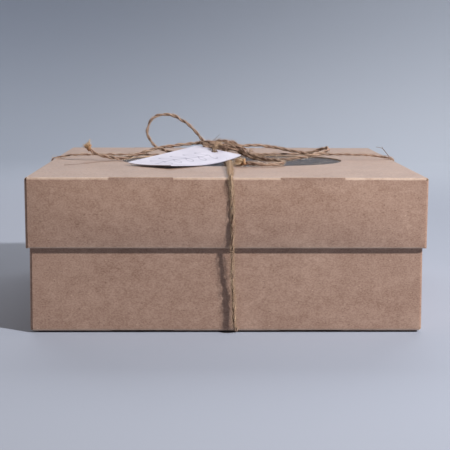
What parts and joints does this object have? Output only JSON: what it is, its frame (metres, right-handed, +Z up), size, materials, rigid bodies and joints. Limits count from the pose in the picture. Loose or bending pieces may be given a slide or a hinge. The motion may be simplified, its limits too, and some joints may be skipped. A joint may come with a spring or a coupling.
{
  "type": "gift box",
  "caption": "Square kraft board gift box: a lid with an oval film window over a base tray, tied crosswise with jute twine that holds a bow and a paper tag.",
  "frame": {"origin": "middle of the box's footprint, on the surface that it stands on", "axes": "+Z up through the lid, -Y out of the front wall with the two slots of the lock tabs facing the viewer, +X to the right along the lengthwise side of the oval window"},
  "size_m": [0.2102, 0.2102, 0.1087],
  "materials": {
    "kraft_board": "matte",
    "kraft_inside": "matte",
    "clear_film": "gloss",
    "jute_twine": "matte",
    "frayed_jute": "matte",
    "tag_paper": "matte"
  },
  "bodies": {
    "base": {"base_bottom_panel": "kraft_board", "base_front_wall": "kraft_board", "base_front_inner_wall": "kraft_inside", "base_rear_wall": "kraft_board", "base_rear_inner_wall": "kraft_inside", "base_left_wall": "kraft_board", "base_right_wall": "kraft_board", "base_front_left_flap": "kraft_inside", "base_front_right_flap": "kraft_inside", "base_rear_left_flap": "kraft_inside", "base_rear_right_flap": "kraft_inside", "twine_under_lengthwise": "jute_twine", "twine_under_crosswise": "jute_twine"},
    "lid": {"lid_top_panel": "kraft_board", "lid_front_wall": "kraft_board", "lid_front_inner_wall": "kraft_inside", "lid_rear_wall": "kraft_board", "lid_rear_inner_wall": "kraft_inside", "lid_left_wall": "kraft_board", "lid_right_wall": "kraft_board", "lid_front_left_flap": "kraft_inside", "lid_front_right_flap": "kraft_inside", "lid_rear_left_flap": "kraft_inside", "lid_rear_right_flap": "kraft_inside", "window_film": "clear_film", "twine_front_drop": "jute_twine", "twine_rear_drop": "jute_twine", "twine_left_drop": "jute_twine", "twine_right_drop": "jute_twine", "twine_front_run": "jute_twine", "twine_rear_run": "jute_twine", "twine_left_run": "jute_twine", "twine_right_run": "jute_twine", "twine_knot": "jute_twine", "bow_left_loop": "jute_twine", "bow_right_loop": "jute_twine", "bow_left_tail": "jute_twine", "bow_right_tail": "jute_twine", "left_tail_end": "frayed_jute", "right_tail_end": "frayed_jute", "tag_tie": "jute_twine"},
    "tag": {"gift_tag": "tag_paper"}
  },
  "joints": [
    {"name": "lid_lift", "type": "slide", "parent": "base", "child": "lid", "axis": [0, 0, 1], "range_m": [0, 0.11]},
    {"name": "tag_flip", "type": "hinge", "parent": "lid", "child": "tag", "pos_m": [-0.003, -0.0025, 0.0876], "axis": [-0.7314, 0.682, 0], "range_deg": [0, 70]}
  ]
}
